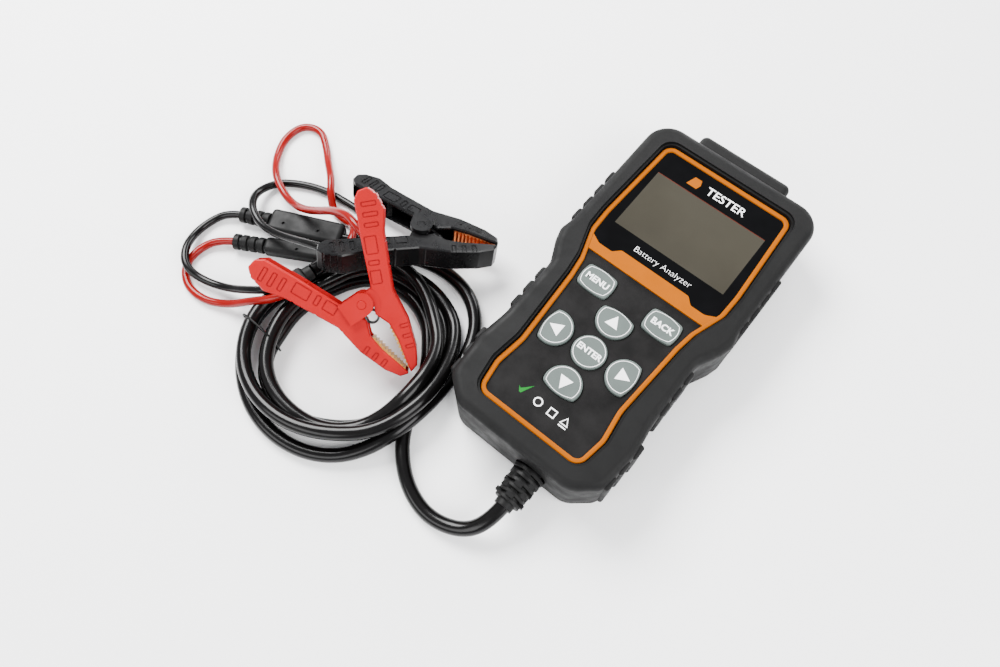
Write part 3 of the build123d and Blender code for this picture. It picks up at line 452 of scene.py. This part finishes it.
def arc(start, middle, end, count=10):
    """Points of the round arc through three points, without its last one."""
    (ax, ay), (bx, by), (cx, cy) = start, middle, end
    d = 2 * (ax * (by - cy) + bx * (cy - ay) + cx * (ay - by))
    a2, b2, c2 = ax * ax + ay * ay, bx * bx + by * by, cx * cx + cy * cy
    ux = (a2 * (by - cy) + b2 * (cy - ay) + c2 * (ay - by)) / d
    uy = (a2 * (cx - bx) + b2 * (ax - cx) + c2 * (bx - ax)) / d
    radius = math.hypot(ax - ux, ay - uy)
    first, half, last = (math.atan2(y - uy, x - ux) for x, y in (start, middle, end))
    sweep = (last - first) % math.tau
    if (half - first) % math.tau > sweep:
        sweep -= math.tau
    angles = [first + sweep * i / count for i in range(count)]
    return [(ux + radius * math.cos(a), uy + radius * math.sin(a)) for a in angles]


def key_outline(key):
    """A key's outline about its own centre, with the turn of its arrow."""
    if key == "key_enter":
        # an arc that ends just before its start, which closes to a circle
        radius = ENTER_KEY_RADIUS
        return arc((radius, 0), (-radius, 0.0), (radius, -0.001), 48)
    if key in ARROW_TURNS:
        corner, half = ARROW_KEY_CORNER
        back = arc((corner, half), (-ARROW_KEY_BACK, 0), (corner, -half), 30)
        crown = arc((corner, -half), (ARROW_KEY_CROWN, 0), (corner, half), 12)
        return turned(back + crown, ARROW_TURNS[key])
    side, end = WORD_KEY_CORNER
    return (
        arc((-side, end), (-WORD_KEY_HALF_WIDTH, 0), (-side, -end))
        + arc((-side, -end), (0, -WORD_KEY_HALF_HEIGHT), (side, -end), 16)
        + arc((side, -end), (WORD_KEY_HALF_WIDTH, 0), (side, end))
        + arc((side, end), (0, WORD_KEY_HALF_HEIGHT), (-side, end), 16)
    )


def line_shape(name, outline, place, width, z, material, body):
    """A thin printed line of the given width just inside a closed outline."""
    size = max(math.hypot(x, y) for x, y in outline)
    corners = []
    for height in (z, z + INK_THICKNESS):
        for scale in (1.0, 1.0 - width / size):
            corners += [
                ((place[0] + x * scale) * MM, (place[1] + y * scale) * MM, height * MM)
                for x, y in outline
            ]
    n = len(outline)
    faces = []
    for i in range(n):
        j = (i + 1) % n
        faces.append((2 * n + i, 3 * n + i, 3 * n + j, 2 * n + j))
        faces.append((i, j, n + j, n + i))
        faces.append((i, 2 * n + i, 2 * n + j, j))
        faces.append((n + i, n + j, 3 * n + j, 3 * n + i))
    mesh = bpy.data.meshes.new(name)
    mesh.from_pydata(corners, [], faces)
    mesh.update()
    add_mesh(name, mesh, material, body)


def lettering(name, words, size, place, z, material, body, bold):
    """Printed generic words, centred on a place, as a thin mesh."""
    curve = bpy.data.curves.new(name + "_text", "FONT")
    curve.body = words
    curve.size = size * MM
    curve.align_x = "CENTER"
    curve.align_y = "CENTER"
    curve.extrude = LETTER_HALF_THICKNESS * MM
    curve.offset = bold * MM
    text = bpy.data.objects.new(name + "_text", curve)
    bpy.context.scene.collection.objects.link(text)
    bpy.context.view_layer.update()
    depsgraph = bpy.context.evaluated_depsgraph_get()
    mesh = bpy.data.meshes.new_from_object(text.evaluated_get(depsgraph))
    bpy.data.objects.remove(text)
    mesh.transform(Matrix.Translation((place[0] * MM, place[1] * MM, z * MM)))
    mesh.name = name
    add_mesh(name, mesh, material, body)


def build_key_marks():
    """Key legends and the fine line round each key."""
    for key, (word, size) in KEY_WORDS.items():
        name = key.replace("key", "legend")
        top = KEY_TOP_Z + LETTER_HALF_THICKNESS
        lettering(name, word, size, KEYS[key], top, WHITE_INK, key + "_cap", KEY_WORD_BOLD)
    for key, place in KEYS.items():
        inset = [(KEY_LINE_INSET * x, KEY_LINE_INSET * y) for x, y in key_outline(key)]
        line_shape(key + "_line", inset, place, KEY_LINE_WIDTH, KEY_TOP_Z, WHITE_INK, key + "_cap")
    for key, turn in ARROW_TURNS.items():
        x, y = KEYS[key]
        outline = [(x + dx, y + dy) for dx, dy in turned(ARROW_OUTLINE, turn)]
        flat_shape(key + "_arrow", outline, KEY_TOP_Z, INK_THICKNESS, WHITE_INK, key + "_cap")


def build_lens_marks():
    """The display's visible area, the badge and the words on the lens."""
    z = LENS_TOP_Z
    flat_shape("lcd_view", LCD_OUTLINE, z, INK_THICKNESS, LCD, "tester")
    flat_shape("lcd_top_line", LCD_TOP_OUTLINE, z, BADGE_INK_THICKNESS, LCD_EDGE, "tester")
    flat_shape("badge", BADGE_OUTLINE, z, BADGE_INK_THICKNESS, ORANGE_INK, "tester")
    lettering("name_line", *NAME_LINE, z + LENS_LETTER_LIFT, WHITE_INK, "tester", NAME_BOLD)
    lettering("small_line", *SMALL_LINE, z + LENS_LETTER_LIFT, WHITE_INK, "tester", SMALL_BOLD)


def build_panel_marks():
    """A tick and plain marks on the keypad panel."""
    z = PANEL_TOP_Z
    flat_shape("mark_tick", TICK_OUTLINE, z, INK_THICKNESS, GREEN_INK, "tester")
    angles = [math.tau * i / RING_SIDES for i in range(RING_SIDES)]
    ring = [(RING_RADIUS * math.cos(a), RING_RADIUS * math.sin(a)) for a in angles]
    line_shape("mark_ring", ring, RING_PLACE, RING_LINE, z, WHITE_INK, "tester")
    line_shape("mark_square", SQUARE_OUTLINE, SQUARE_PLACE, SQUARE_LINE, z, WHITE_INK, "tester")
    line_shape("mark_triangle", TRIANGLE_OUTLINE, TRIANGLE_PLACE, TRIANGLE_LINE, z, WHITE_INK, "tester")
    flat_shape("mark_bar", BAR_OUTLINE, z, INK_THICKNESS, WHITE_INK, "tester")


# --- camera, light and floor ---

CAMERA_PLACE = (0.0509, -0.1701, 0.3677)
CAMERA_TARGET = (-0.04737, -0.04983, 0.0)
CAMERA_LENS = 27.44
SENSOR_WIDTH = 36.0
LIGHT_TARGET = (-0.05, -0.03, 0.0)

# name, place, width and depth of the lamp, power in watts
LIGHTS = (
    ("key_light", (-0.70, 0.15, 0.75), (0.6, 0.5), 36.0),
    ("fill_light", (0.75, -0.10, 0.65), (0.7, 0.7), 18.0),
    ("front_light", (-0.15, -0.85, 0.55), (0.9, 0.4), 9.0),
    ("back_light", (-0.10, 1.10, 0.45), (1.0, 0.3), 16.0),
)
WORLD_COLOR = (0.95, 0.96, 1.0, 1.0)
WORLD_STRENGTH = 0.85
FLOOR_HALF = 2.5


def look_at(obj, target):
    """Points an object's -Z axis at a target."""
    obj.rotation_euler = (Vector(target) - obj.location).to_track_quat("-Z", "Y").to_euler()


def build_camera():
    """The camera at the photograph's viewing angle."""
    data = bpy.data.cameras.new("camera")
    data.lens = CAMERA_LENS
    data.sensor_width = SENSOR_WIDTH
    data.clip_start = 0.01
    data.dof.use_dof = False
    camera = bpy.data.objects.new("camera", data)
    camera.location = CAMERA_PLACE
    look_at(camera, CAMERA_TARGET)
    bpy.context.scene.collection.objects.link(camera)
    bpy.context.scene.camera = camera


def build_lights():
    """Soft lamps round the object and an even glow from everywhere."""
    for name, place, (width, depth), power in LIGHTS:
        data = bpy.data.lights.new(name, "AREA")
        data.shape = "RECTANGLE"
        data.size = width
        data.size_y = depth
        data.energy = power
        light = bpy.data.objects.new(name, data)
        light.location = place
        look_at(light, LIGHT_TARGET)
        bpy.context.scene.collection.objects.link(light)
    world = bpy.data.worlds.new("studio")
    world.use_nodes = True
    background = world.node_tree.nodes["Background"]
    background.inputs["Color"].default_value = WORLD_COLOR
    background.inputs["Strength"].default_value = WORLD_STRENGTH
    bpy.context.scene.world = world


def build_floor():
    """The pale sheet under the object."""
    half = FLOOR_HALF
    corners = [(-half, -half, 0), (half, -half, 0), (half, half, 0), (-half, half, 0)]
    mesh = bpy.data.meshes.new("floor")
    mesh.from_pydata(corners, [], [(0, 1, 2, 3)])
    floor = bpy.data.objects.new("floor", mesh)
    bpy.context.scene.collection.objects.link(floor)
    paint(floor, FLOOR)


paint_cad_nodes()
build_cords()
build_key_marks()
build_lens_marks()
build_panel_marks()
build_camera()
build_lights()
build_floor()
